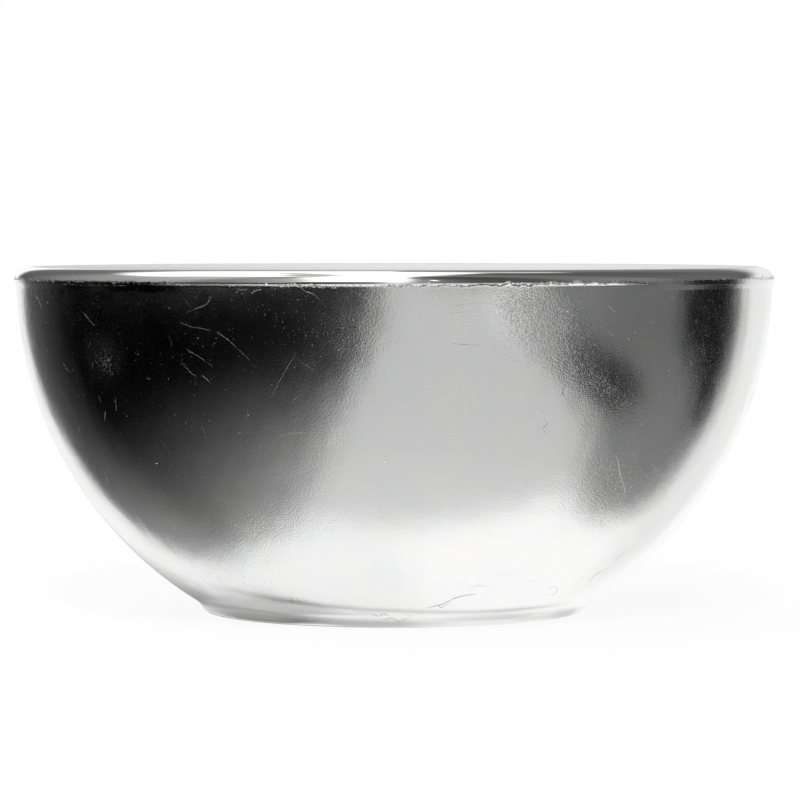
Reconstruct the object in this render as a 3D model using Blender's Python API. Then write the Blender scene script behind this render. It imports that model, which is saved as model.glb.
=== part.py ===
"""Silver-leafed glass bowl: a hemispherical dish with a fire-polished lip, standing on a low foot.

The dish is one pressing of clear glass. Square sheets of silver leaf, laid side by side round the outside,
cover it from just under the lip, down the wall and over the foot's side. One more sheet fills the recess
under the foot. Leaf is far thinner than a solid can be here, so each sheet has a stand-in thickness, and
neighbouring sheets meet with a gap where real ones lap.

Metres, +Z up. The origin is the middle of the flat ring that the foot stands on.
"""

from math import cos, pi, radians, sin, sqrt

import bmesh
import bpy
from mathutils import Matrix, Vector

# Whole dish
RIM_RADIUS = 0.0700  # outermost point of the lip
HEIGHT = 0.0637  # standing plane to the lip's crest
WALL = 0.0030  # glass thickness of the bowl's side

# Lip: a bead of oval section, thicker than the wall on both sides
LIP_OUT = 0.00056  # how far it stands out past the leaf
LIP_IN = 0.0018  # how far it stands in past the wall's inner face
LIP_HEIGHT = 0.0044  # of the whole oval
WIDEST_DROP = 0.00265  # crest down to the level where the wall's curve is upright

# Inside floor and the recess under it
FLOOR_THICKNESS = 0.0033
FLOOR_FILLET = 0.0080
RECESS_DEPTH = 0.0012
RING_WIDTH = 0.0045  # of the flat ring that the dish stands on

# Foot, measured on the glass
FOOT_RADIUS = 0.0351
FOOT_HEIGHT = 0.0015  # up to where the wall springs from it
FOOT_EDGE = 0.0008  # radius of its lower edge

# Leaf
LEAF = 0.0003  # stand-in thickness of one sheet
LEAF_SHEETS = 6  # laid round the wall
FIRST_LAP = radians(-24)  # where the first sheet starts, turning from +X towards +Y
SEAT_GAP = 0.0003  # between any two pieces that touch on the real dish

# How finely curves are drawn
TURN_STEPS = 60  # a multiple of LEAF_SHEETS keeps the leaf's facets in line with the glass's
WALL_STEPS = 12
LIP_STEPS = 4  # for each quarter of the lip's oval
ARC_STEPS = 3
SHARP_ANGLE = radians(35)

# Worked out from the sizes above
LIP_LEVEL = HEIGHT - LIP_HEIGHT / 2
WIDEST_LEVEL = HEIGHT - WIDEST_DROP
WALL_RADIUS = RIM_RADIUS - LIP_OUT - LEAF - SEAT_GAP
LIP_WIDTH = LIP_OUT + LEAF + SEAT_GAP + WALL + LIP_IN
LIP_RADIUS = RIM_RADIUS - LIP_WIDTH / 2
WALL_DEPTH = (WIDEST_LEVEL - FOOT_HEIGHT) / sqrt(1 - (FOOT_RADIUS / WALL_RADIUS) ** 2)
FLOOR_LEVEL = RECESS_DEPTH + FLOOR_THICKNESS
RECESS_RADIUS = FOOT_RADIUS - FOOT_EDGE - RING_WIDTH


def oval(centre, half_width, half_height, start, end, steps):
    """Points (radius, height) along part of an oval, from one angle to another, both included."""
    angles = [start + (end - start) * step / steps for step in range(steps + 1)]
    return [Vector((centre[0] + half_width * cos(a), centre[1] + half_height * sin(a))) for a in angles]


def angle_at(level, half_height):
    """The angle, below the horizontal, at which a wall curve of this depth passes a level."""
    down = (WIDEST_LEVEL - level) / half_height
    low, high = -pi / 2, 0.0
    for _ in range(60):
        middle = (low + high) / 2
        low, high = (middle, high) if -sin(middle) > down else (low, middle)
    return (low + high) / 2


def lip_angle(inward, wall_radius, wall_depth):
    """The angle on the lip's oval at which its underside runs into the wall's inner or outer face."""
    low, high = 0.0, pi / 2
    for _ in range(60):
        turn = (low + high) / 2
        side = -sin(turn) if inward else sin(turn)
        radius = LIP_RADIUS + side * LIP_WIDTH / 2
        level = LIP_LEVEL - cos(turn) * LIP_HEIGHT / 2
        wall = wall_radius * sqrt(1 - ((WIDEST_LEVEL - level) / wall_depth) ** 2)
        inside_glass = radius > wall if inward else radius < wall
        low, high = (turn, high) if inside_glass else (low, turn)
    turn = (low + high) / 2
    return -pi / 2 - turn if inward else -pi / 2 + turn


def outer_wall():
    """The glass wall's outer face, from under the lip down to the foot."""
    lip = lip_angle(False, WALL_RADIUS, WALL_DEPTH)
    top = angle_at(LIP_LEVEL + LIP_HEIGHT / 2 * sin(lip), WALL_DEPTH)
    bottom = angle_at(FOOT_HEIGHT, WALL_DEPTH)
    return oval((0, WIDEST_LEVEL), WALL_RADIUS, WALL_DEPTH, top, bottom, WALL_STEPS)


def foot_side():
    """The foot's outer face, down to where its lower edge begins to round."""
    return [Vector((FOOT_RADIUS, FOOT_EDGE))]


def inner_face():
    """The inside of the dish, from the middle of the floor up to the lip."""
    radius, depth = WALL_RADIUS - WALL, WALL_DEPTH - WALL
    bend = angle_at(FLOOR_LEVEL + FLOOR_FILLET, depth - FLOOR_FILLET)
    corner = ((radius - FLOOR_FILLET) * cos(bend), FLOOR_LEVEL + FLOOR_FILLET)
    lip = lip_angle(True, radius, depth)
    top = angle_at(LIP_LEVEL + LIP_HEIGHT / 2 * sin(lip), depth)
    fillet = oval(corner, FLOOR_FILLET, FLOOR_FILLET, -pi / 2, bend, ARC_STEPS)
    wall = oval((0, WIDEST_LEVEL), radius, depth, bend, top, WALL_STEPS)
    return [Vector((0, FLOOR_LEVEL))] + fillet + wall[1:]


def lip():
    """The bead, from the inner face over its crest to the outer face, with points at its furthest in and out."""
    start = lip_angle(True, WALL_RADIUS - WALL, WALL_DEPTH - WALL)
    end = lip_angle(False, WALL_RADIUS, WALL_DEPTH) - 2 * pi
    bead = []
    for first, last in ((start, -pi), (-pi, -1.5 * pi), (-1.5 * pi, -2 * pi), (-2 * pi, end)):
        bead += oval((LIP_RADIUS, LIP_LEVEL), LIP_WIDTH / 2, LIP_HEIGHT / 2, first, last, LIP_STEPS)[1:]
    return bead[:-1]


def underside():
    """The foot's rounded lower edge, the standing ring and the recess."""
    centre = (FOOT_RADIUS - FOOT_EDGE, FOOT_EDGE)
    edge = oval(centre, FOOT_EDGE, FOOT_EDGE, 0, -pi / 2, ARC_STEPS)
    recess = [Vector((RECESS_RADIUS, 0)), Vector((RECESS_RADIUS, RECESS_DEPTH)), Vector((0, RECESS_DEPTH))]
    return edge[1:] + recess


def moved_out(points, distance):
    """The same outline, moved outwards by a distance measured square to it."""
    moved = []
    for index, point in enumerate(points):
        before = point - points[max(index - 1, 0)]
        after = points[min(index + 1, len(points) - 1)] - point
        normals = [Vector((-run.y, run.x)).normalized() for run in (before, after) if run.length > 0]
        mitre = sum(normals, Vector((0, 0))).normalized()
        moved.append(point + mitre * distance / mitre.dot(normals[0]))
    return moved


def turned(outline, angle, steps):
    """A bmesh turned from an outline (radius, height) about +Z, starting at +X."""
    mesh = bmesh.new()
    points = [mesh.verts.new((point.x, 0, point.y)) for point in outline]
    edges = [mesh.edges.new(pair) for pair in zip(points, points[1:])]
    bmesh.ops.spin(mesh, geom=points + edges, cent=(0, 0, 0), axis=(0, 0, 1), angle=angle, steps=steps)
    bmesh.ops.remove_doubles(mesh, verts=mesh.verts, dist=1e-6)
    return mesh


def material(name, colour, metallic, roughness, transmission=0.0):
    made = bpy.data.materials.new(name)
    made.use_nodes = True
    shader = made.node_tree.nodes["Principled BSDF"]
    shader.inputs["Base Color"].default_value = (*colour, 1)
    shader.inputs["Metallic"].default_value = metallic
    shader.inputs["Roughness"].default_value = roughness
    shader.inputs["Transmission Weight"].default_value = transmission
    return made


def add(name, shape, finish):
    """Puts a finished bmesh in the scene as one named object."""
    bmesh.ops.recalc_face_normals(shape, faces=shape.faces)
    mesh = bpy.data.meshes.new(name)
    shape.to_mesh(mesh)
    shape.free()
    mesh.shade_smooth()
    mesh.set_sharp_from_angle(angle=SHARP_ANGLE)
    mesh.materials.append(finish)
    made = bpy.data.objects.new(name, mesh)
    bpy.context.scene.collection.objects.link(made)
    return made


def glass_bowl():
    outline = inner_face() + lip() + outer_wall() + foot_side() + underside()
    clear_glass = material("clear_glass", (0.93, 0.96, 0.95), 0.0, 0.03, transmission=1.0)
    return add("glass_bowl", turned(outline, 2 * pi, TURN_STEPS), clear_glass)


def wall_leaves():
    """The sheets round the wall and foot: each spans its share of the turn, less a gap."""
    glass = [point for point in outer_wall() if point.y < outer_wall()[0].y - SEAT_GAP]
    seat = moved_out([wall_top_below_lip()] + glass + foot_side(), SEAT_GAP)
    share = 2 * pi / LEAF_SHEETS
    gap = SEAT_GAP / FOOT_RADIUS
    steps = max(TURN_STEPS // LEAF_SHEETS, 1)
    for sheet in range(LEAF_SHEETS):
        silver_leaf = material(f"silver_leaf_{sheet + 1}", (0.87, 0.88, 0.89), 1.0, 0.16)
        made = add(f"wall_leaf_{sheet + 1}", turned(seat, share - gap, steps), silver_leaf)
        made.rotation_euler.z = FIRST_LAP + sheet * share + gap / 2
        skin = made.modifiers.new("thickness", "SOLIDIFY")
        skin.thickness = LEAF
        skin.offset = 1
        skin.use_even_offset = True


def wall_top_below_lip():
    """The point on the wall's outer face where the leaf starts, clear of the lip above it."""
    turn = angle_at(outer_wall()[0].y - SEAT_GAP, WALL_DEPTH)
    return Vector((WALL_RADIUS * cos(turn), WIDEST_LEVEL + WALL_DEPTH * sin(turn)))


def base_leaf():
    """The sheet pressed up into the recess, clear of the standing plane."""
    disc = bmesh.new()
    radius = RECESS_RADIUS - SEAT_GAP
    middle = Matrix.Translation((0, 0, RECESS_DEPTH - SEAT_GAP - LEAF / 2))
    bmesh.ops.create_cone(
        disc, cap_ends=True, segments=TURN_STEPS, radius1=radius, radius2=radius, depth=LEAF, matrix=middle
    )
    return add("base_leaf", disc, material("silver_leaf_base", (0.84, 0.85, 0.86), 1.0, 0.22))


def main():
    for existing in list(bpy.data.objects):
        bpy.data.objects.remove(existing)
    glass_bowl()
    wall_leaves()
    base_leaf()


main()
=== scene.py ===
"""Silver-leafed glass dish: its looks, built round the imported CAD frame.

A pressed dish of clear soda-lime glass with a rounded lip and a low foot. Silver lustre is fired on the lip.
Six sheets of silver leaf are laid round the outside, from the lip's lower flank down over the foot's side,
each lapping over the next, and a seventh lies in the recess underneath. The leaf is lacquered.

Sizes are in millimetres, and a mesh is brought to metres as it is made. A bearing is an angle round the dish,
in degrees from the front (-Y) and growing towards the right (+X).
"""

import bmesh
import bpy
import numpy as np
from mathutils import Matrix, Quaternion, Vector


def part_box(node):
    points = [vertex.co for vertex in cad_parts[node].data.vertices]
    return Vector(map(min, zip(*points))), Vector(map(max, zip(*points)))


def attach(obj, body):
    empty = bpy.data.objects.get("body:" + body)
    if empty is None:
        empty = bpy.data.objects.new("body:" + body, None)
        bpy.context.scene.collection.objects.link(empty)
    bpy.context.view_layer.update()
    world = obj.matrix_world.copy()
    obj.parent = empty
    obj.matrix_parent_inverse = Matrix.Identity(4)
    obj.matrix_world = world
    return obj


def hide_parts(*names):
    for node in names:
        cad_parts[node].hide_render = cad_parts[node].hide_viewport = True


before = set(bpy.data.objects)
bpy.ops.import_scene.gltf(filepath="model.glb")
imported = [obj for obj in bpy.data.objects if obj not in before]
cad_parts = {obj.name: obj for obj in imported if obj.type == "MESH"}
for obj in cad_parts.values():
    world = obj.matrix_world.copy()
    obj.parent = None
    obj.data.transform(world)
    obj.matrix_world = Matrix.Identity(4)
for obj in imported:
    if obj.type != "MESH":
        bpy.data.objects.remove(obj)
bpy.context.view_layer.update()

MM = 0.001

# Sizes taken from the frame
RIM_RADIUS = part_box("glass_bowl")[1].x / MM
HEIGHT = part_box("glass_bowl")[1].z / MM

# Glass
BED = 0.05  # the leaf's outer face stands this far off the glass
LIP_HALF_WIDTH = 2.955
LIP_HALF_HEIGHT = 2.2
LIP_RADIUS = RIM_RADIUS - BED - LIP_HALF_WIDTH
LIP_LEVEL = HEIGHT - LIP_HALF_HEIGHT
LUSTRE_EDGE = 60.3  # the lustre starts here, under the leaf
LIP_FOOT = 60.95  # where the lip swells out of the side
LIP_UNDER = 61.5  # and where that swelling ends
WIDEST_LEVEL = HEIGHT - 2.65  # where the side is upright
SIDE_RADIUS = RIM_RADIUS - 0.56 - BED  # the side is part of a sphere
SIDE_FLARE = 0.22  # and grows to this much wider than the sphere between the next two heights
FLARE_START, FLARE_END = 15, 58
LIP_SWELL = LIP_RADIUS + LIP_HALF_WIDTH - SIDE_RADIUS - SIDE_FLARE
GLASS_THICKNESS = 2.95
FLOOR_LEVEL = 4.5
FLOOR_FILLET = 8.0
RECESS_DEPTH = 1.2
RECESS_RADIUS = 29.8
ROUND_STEPS = 256
PATH_RADIUS = 100.0  # of the circle that carries the outline round; any that is wider than the dish
POLE_WELD = 0.002
SHARP_ANGLE = np.radians(40)

# Foot: how far its face leans in, in degrees from upright, by height; then (radius, height) under it
FOOT_TOP = 2.5
FOOT_END = 0.02
FOOT_LEAN = ((FOOT_TOP, 57.4), (2.1, 51), (1.7, 43), (1.3, 38), (0.8, 36), (0.35, 38), (FOOT_END, 75))
FOOT_RING = ((34.3, 0.0), (30.6, 0.0), (30.1, 0.15), (29.9, 0.5), (RECESS_RADIUS, 1.0), (29.4, RECESS_DEPTH))

# Leaf
SHEETS = 6
FIRST_BEARING = 66.0  # where the first sheet starts
LAP = 7.0  # how far one sheet lies over the next, at the top
LAP_STEP = 0.025  # how far it stands up over the next one's edge
LAP_RISE = 3  # how far before that edge it rises
LAP_FALL, LAP_END = 5, 0.3  # how far from its own end it starts and stops coming down again
LEAF = 0.02  # drawn thickness, as fine as a mesh holds it
LINE_STEP = 0.05  # spacing of the points down the leaf's line
SHEET_COLUMNS = 340
# A sheet's rows: how far down from the tear and up from the ring they are close, and their three spacings
TOP_REACH, FOOT_REACH = 1.6, 12
TOP_STEP, WALL_STEP, FOOT_STEP = 0.1, 0.9, 0.3

# Flecks along the tear: how many are tried, how far they stray from it, their least, mean extra and largest
# size, how far they lean and droop in degrees, and the bearing about which they are coarsest
EDGE_FLECKS = 9000
FLECK_STRAY = 0.14
FLECK_LEAST, FLECK_EXTRA, FLECK_MOST = 0.09, 0.08, 0.45
FLECK_LEAN, FLECK_LIFTED, FLECK_DROOP = 4.0, 22.0, 34
COARSE_BEARING, COARSE_REACH, COARSE_GROWTH = 17, 5, 1.8

# Specks on the wall: how many are strewn at random, their least and mean extra size, their lean and droop
FACE_SPECKS = 620
SPECK_LEAST, SPECK_EXTRA = 0.05, 0.035
SPECK_LEAN, SPECK_DROOP = 14.0, 36.0
SPECK_LEVELS = (3, 60.3)

# The torn top edge by bearing: its height, how ragged it is, and how far it stands off the glass
TEAR_LEVEL = ((-150, 61.2), (-90, 61.5), (-60, 61.5), (-45, 61.45), (-35, 61.4), (-29, 61.15), (-20, 61.08),
              (-8, 61.0), (0, 61.0), (10, 61.1), (15, 61.25), (22, 61.3), (29, 61.45), (37, 61.65),
              (60, 61.8), (120, 61.5))
TEAR_RAGGED = ((-150, 0.5), (-70, 0.8), (-60, 1.1), (-32, 1), (-27, 0.3), (-18, 0.5), (-6, 0.85), (11, 0.8),
               (14, 1.2), (31, 1.1), (36, 0.3), (62, 0.3), (100, 0.7))
TEAR_CURL = ((-180, 0.02), (8, 0.0), (12, 0.13), (18, 0.13), (22, 0.07), (29, 0.04), (56, 0.05), (66, 0.02))
CURL_REACH = 0.25  # how far down the curl goes
TEAR_PULL = 6  # and how far down the sheet's rows even out the tear

# Where the leaf spans the corner under the lip instead of lying in it, by bearing, and from which height
BRIDGE = ((-180, 1), (-41, 1), (-31, 0), (33, 0), (43, 1), (180, 1))
BRIDGE_FOOT = 59.4

# Tarnish and painted shade on the foot by bearing: how much of the shine it takes, and the heights where it
# ends, where it is full, and where it stops below. The darkening is partly tarnish and partly painted shade,
# most on the left
FOOT_TARNISH_AND_SHADE = ((-180, 0.1), (-86, 0.1), (-78, 0.2), (-66, 0.28), (-58, 0.36), (-38, 0.36), (-32, 0.42),
           (-26, 0.5), (-21, 0.48), (-14, 0.45), (-4, 0.38), (2, 0.36), (9, 0.2), (20, 0.1), (50, 0.12),
           (62, 0.3), (70, 0.2), (80, 0.1))
FOOT_TARNISH_AND_SHADE_END = ((-62, 4.2), (-48, 3.4), (-38, 2.9), (-30, 2.6), (-22, 2.4), (-14, 2.3), (0, 2.3))
FOOT_TARNISH_AND_SHADE_TOP = ((-62, 2.8), (-48, 2.4), (-38, 2.2), (-30, 1.9), (-22, 1.5), (-14, 1.1), (0, 0.9))
FOOT_TARNISH_AND_SHADE_LOW = ((-40, 0.1), (-32, 0.5), (-27, 0.9), (-22, 0.9), (-14, 0.4), (0, 0.2))

# The painted reflection of a dark line above the foot by bearing: its height, how dark it is and how wide
DARK_REFLECTION_LEVEL = ((-42, 6.5), (-38.5, 5.96), (-32, 5.26), (-28.7, 4.98), (-25, 4.8), (-19, 4.27), (-12.4, 3.9),
               (-6, 3.57), (0, 3.45), (8, 3.2), (22, 2.9), (47, 3.05))
DARK_REFLECTION_DEPTH = ((-180, 0), (-52, 0), (-43, 0.14), (-38, 0.22), (-33, 0.4), (-29, 0.5), (-25, 0.55),
               (-22, 0.46), (-18, 0.34), (-12, 0.27), (-6, 0.22), (0, 0.2), (10, 0.18), (22, 0.14),
               (30, 0.24), (38, 0.22), (48, 0.08), (58, 0))
DARK_REFLECTION_WIDTH = ((-30, 0.7), (-20, 0.55), (-12, 0.4))

# Rubbed, grainy places: (bearing, height, half width, half height, slant, strength)
SCUFFS = (
    (23.6, 54.9, 6, 6, 0, 0.75), (18.5, 55.5, 4, 5, -0.5, 0.9), (33, 43.6, 9, 3.4, -0.65, 0.45),
    (40, 28, 13, 7, 0, 0.5), (51, 50, 6, 13, 0, 0.3), (-47.1, 47.4, 2.7, 3, 0, 1),
    (-25, 4.9, 6, 0.9, -0.1, 1), (-10, 54, 8, 4, 0, 0.25), (7, 46, 9, 12, 0, 0.15),
    (-17, 20, 14, 6, 0.2, 0.3), (12, 36, 10, 7, 0, 0.1), (-38, 9, 16, 4, 0, 0.25),
)

# Bright specks: (bearing, height, size)
SPECKS = (
    (-7.7, 50.3, 0.2), (-6.6, 39.6, 0.22), (-9.3, 36.8, 0.3), (-1.4, 31.1, 0.34), (-1.7, 31.6, 0.22),
    (-1.1, 30.6, 0.24), (43.6, 58.8, 0.3), (35.7, 51.8, 0.22), (44.5, 46.1, 0.18), (-3.4, 58.6, 0.24),
    (-62, 57.6, 0.34), (-63, 54, 0.16), (-40, 49, 0.3), (-42, 50, 0.2), (-44, 48, 0.16),
)

# Hair scratches, each ((bearing, height) points, half width)
SCRATCHES = (
    (((-31.8, 54.8), (-29.8, 54.0), (-27.9, 53.7), (-25.5, 53.2)), 0.02),
    (((-26.4, 53.7), (-24.3, 52.2), (-22.3, 50.0), (-20.7, 48.3)), 0.04),
    (((-13.8, 49.9), (-15.9, 46.2), (-18.2, 42.0)), 0.024),
    (((-14.0, 48.9), (-12.6, 47.7), (-11.3, 46.9)), 0.024),
    (((-12.9, 43.1), (-14.2, 42.2), (-15.3, 40.9)), 0.024),
    (((-18.0, 35.3), (-15.6, 36.0), (-13.6, 36.2)), 0.035),
    (((-5.4, 51.2), (-3.6, 50.2)), 0.05),
    (((15.2, 49.9), (17.0, 48.8), (19.1, 47.3)), 0.05),
    (((20.0, 41.5), (21.4, 40.4), (23.0, 39.0)), 0.03),
    (((37.5, 31.6), (38.9, 30.0), (40.1, 27.9), (42.0, 26.0), (43.4, 24.2)), 0.04),
    (((36.0, 27.4), (37.2, 30.0), (37.0, 32.6)), 0.02),
    (((39.0, 24.6), (40.6, 22.0), (41.0, 18.2)), 0.02),
    (((-18.7, 61.0), (-19.4, 60.4), (-20.3, 59.7)), 0.05),
    (((-22.6, 61.0), (-22.0, 60.7), (-20.9, 60.9)), 0.05),
    (((-12.8, 60.4), (-11.1, 59.7), (-10.3, 58.9), (-9.7, 58.1)), 0.04),
    (((-5.9, 60.4), (-5.1, 59.9), (-3.3, 58.2)), 0.035),
    (((-26.2, 60.0), (-26.5, 59.0), (-27.1, 57.9), (-28.7, 57.2), (-30.7, 56.4)), 0.035),
    (((-31.0, 50.2), (-28.9, 48.9), (-26.4, 46.9)), 0.01),
    (((-31.9, 47.8), (-30.9, 46.4), (-29.6, 45.2)), 0.012),
    (((-28.9, 45.8), (-27.5, 44.6)), 0.025),
    (((-46.6, 41.4), (-47.2, 38.9)), 0.011),
    (((-49.9, 39.0), (-51.1, 36.8)), 0.011),
    (((7.0, 57.6), (12.0, 58.2)), 0.045),
    (((6.4, 56.3), (11.0, 56.9)), 0.045),
    (((8.0, 51.4), (12.2, 51.0)), 0.045),
    (((13.6, 46.4), (15.8, 45.8)), 0.04),
    (((-3.0, 34.6), (-0.6, 34.4)), 0.03),
    (((2.2, 33.8), (4.6, 34.2), (6.6, 33.2)), 0.03),
    (((30.2, 56.8), (31.8, 57.6), (33.0, 56.4), (34.4, 57.4)), 0.03),
    (((22.0, 58.6), (23.0, 57.2), (24.6, 56.6)), 0.03),
)

# Fine creases, in which the tarnish sits
CREASES = (
    (((24.7, 45.4), (25.7, 44.0), (25.2, 42.8), (26.3, 41.6), (26.9, 40.3)), 0.035),
    (((27.2, 45.2), (26.6, 43.4)), 0.03),
    (((22.8, 38.6), (23.6, 37.4), (22.9, 36.6), (23.9, 35.6)), 0.03),
    (((26.8, 34.9), (26.2, 34.2), (26.6, 33.4)), 0.035),
    (((6.4, 3.8), (9.4, 4.1), (12.5, 4.7), (14.7, 5.9), (17.4, 6.4), (20.1, 6.6)), 0.025),
    (((4.6, 3.4), (6.6, 4.4), (8.6, 3.9)), 0.014),
    (((-6.4, 2.9), (-4.2, 2.2), (-2.6, 2.9), (-1.2, 2.1)), 0.03),
    (((-3.4, 1.5), (-0.6, 2.0), (1.4, 1.2), (3.4, 1.9), (4.8, 1.3)), 0.036),
    (((2.2, 3.0), (4.4, 2.4), (6.8, 2.9), (9.2, 2.3)), 0.028),
    (((6.0, 1.4), (7.6, 2.2), (9.8, 1.6)), 0.026),
    (((10.8, 4.6), (12.2, 3.9), (13.8, 5.0)), 0.018),
    (((22.3, 10.4), (24.4, 9.9), (26.0, 10.8), (27.5, 11.4)), 0.014),
    (((39.4, 6.6), (39.8, 7.4), (42.5, 6.6), (43.3, 5.6), (41.1, 5.7)), 0.011),
    (((30.5, 9.1), (33.0, 8.5), (34.3, 8.8)), 0.014),
    (((49.4, 4.7), (48.9, 6.1), (51.0, 6.8)), 0.01),
    (((51.8, 7.5), (51.7, 9.0), (53.9, 9.9)), 0.01),
    (((54.5, 10.8), (54.4, 12.3), (56.0, 13.3)), 0.009),
    (((17.4, 7.8), (19.5, 8.3), (22.9, 7.9)), 0.014),
    (((-3.1, 8.6), (-0.4, 8.0), (1.6, 8.4)), 0.012),
)
CREASE_TARNISH = 0.75
STRAY_SCRATCHES = 420  # drawn at random, all round
STRAY_WIDTHS = (0.004, 0.011)
DEGREE_WIDTH = 1.15  # about how wide a degree of bearing is on the wall
SCRATCH_STEP = 0.35
SCRATCH_WAVER = 0.035
SCRATCH_SIDES = 5
SCRATCH_LEVELS = (0.4, 60.4)


def linear(hex_colour):
    """sRGB hex to the linear colour that a shader takes."""
    channels = [int(hex_colour[start : start + 2], 16) / 255 for start in (1, 3, 5)]
    straight = [c / 12.92 if c <= 0.04045 else ((c + 0.055) / 1.055) ** 2.4 for c in channels]
    return (*straight, 1.0)


def feed(tree, node, inputs):
    """Gives a node its inputs; each is a value or the socket that feeds it."""
    for name, value in inputs.items():
        if isinstance(value, bpy.types.NodeSocket):
            tree.links.new(value, node.inputs[name])
        else:
            node.inputs[name].default_value = value


def add_node(tree, kind, inputs=None, **settings):
    """One node with its settings and inputs."""
    made = tree.nodes.new(kind)
    for name, value in settings.items():
        setattr(made, name, value)
    feed(tree, made, inputs or {})
    return made


def calculate(tree, operation, *values):
    """The result of a sum on values or sockets."""
    return add_node(tree, "ShaderNodeMath", dict(enumerate(values)), operation=operation).outputs[0]


def ranged(tree, value, given, wanted, interpolation="LINEAR"):
    """The value brought from the given range to the wanted one, and held inside it."""
    inputs = {"Value": value, "From Min": given[0], "From Max": given[1]}
    inputs.update({"To Min": wanted[0], "To Max": wanted[1]})
    return add_node(tree, "ShaderNodeMapRange", inputs, interpolation_type=interpolation).outputs["Result"]


def stored(tree, name):
    """The number that add_value stored at each point of the mesh."""
    return add_node(tree, "ShaderNodeAttribute", attribute_name=name).outputs["Fac"]


def noise(tree, place, scale, detail, roughness=0.5):
    """Grey noise over the places."""
    inputs = {"Vector": place, "Scale": scale, "Detail": detail, "Roughness": roughness}
    return add_node(tree, "ShaderNodeTexNoise", inputs).outputs["Fac"]


def bump(tree, height, distance, strength=1.0, under=None):
    """Which way the face looks with a relief of this height, from 0 to 1, and this distance on it."""
    inputs = {"Height": height, "Strength": strength, "Distance": distance}
    if under is not None:
        inputs["Normal"] = under
    return add_node(tree, "ShaderNodeBump", inputs).outputs["Normal"]


def new_finish(name):
    """A material, its tree of nodes and its shader."""
    made = bpy.data.materials.new(name)
    made.use_nodes = True
    return made, made.node_tree, made.node_tree.nodes["Principled BSDF"]


def waves(points, length, seed, count=14):
    """Smooth noise of about unit size over (n, 3) points, made of waves about this long."""
    draw = np.random.default_rng(seed)
    ways = draw.normal(size=(count, 3))
    ways /= np.linalg.norm(ways, axis=1)[:, None]
    lengths = length * draw.uniform(0.7, 1.5, count)
    phases = draw.uniform(0, 2 * np.pi, count)
    angles = points @ (ways * (2 * np.pi / lengths)[:, None]).T + phases
    return np.cos(angles).sum(axis=1) * np.sqrt(2 / count)


def smooth_step(value, start, end):
    """0 to 1 as the value goes from start to end, with soft shoulders."""
    share = np.clip((value - start) / (end - start), 0, 1)
    return share * share * (3 - 2 * share)


def oval(centre, half_width, half_height, start, end, count):
    """(radius, height) points along part of an oval, between two angles in degrees."""
    turn = np.radians(np.linspace(start, end, count))
    return np.column_stack((centre[0] + half_width * np.cos(turn), centre[1] + half_height * np.sin(turn)))


def even_line(points, spacing):
    """The same polyline with points a fixed distance apart along it."""
    points = np.asarray(points, float)
    run = np.concatenate(([0], np.cumsum(np.linalg.norm(np.diff(points, axis=0), axis=1))))
    where = np.linspace(0, run[-1], max(int(round(run[-1] / spacing)), 1) + 1)
    return np.column_stack([np.interp(where, run, column) for column in points.T])


def headings(line):
    """The unit way along a line at each of its points."""
    along = np.gradient(line, axis=0)
    return along / np.linalg.norm(along, axis=1)[:, None]


def ring_faces(rings, steps):
    """The faces between closed rings of points that lie one outside the other."""
    faces = []
    for ring in range(rings - 1):
        for step in range(steps):
            near, far = ring * steps + step, ring * steps + (step + 1) % steps
            faces.append((near, far, far + steps, near + steps))
    return faces


def link(made):
    bpy.context.scene.collection.objects.link(made)
    return made


def mesh_object(name, points, faces, finish):
    """An object with its mesh in metres, smooth shaded."""
    mesh = bpy.data.meshes.new(name)
    mesh.from_pydata((np.asarray(points) * MM).tolist(), [], faces)
    mesh.update()
    mesh.shade_smooth()
    mesh.materials.append(finish)
    return link(bpy.data.objects.new(name, mesh))


# ---------------------------------------------------------------- finishes


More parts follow.
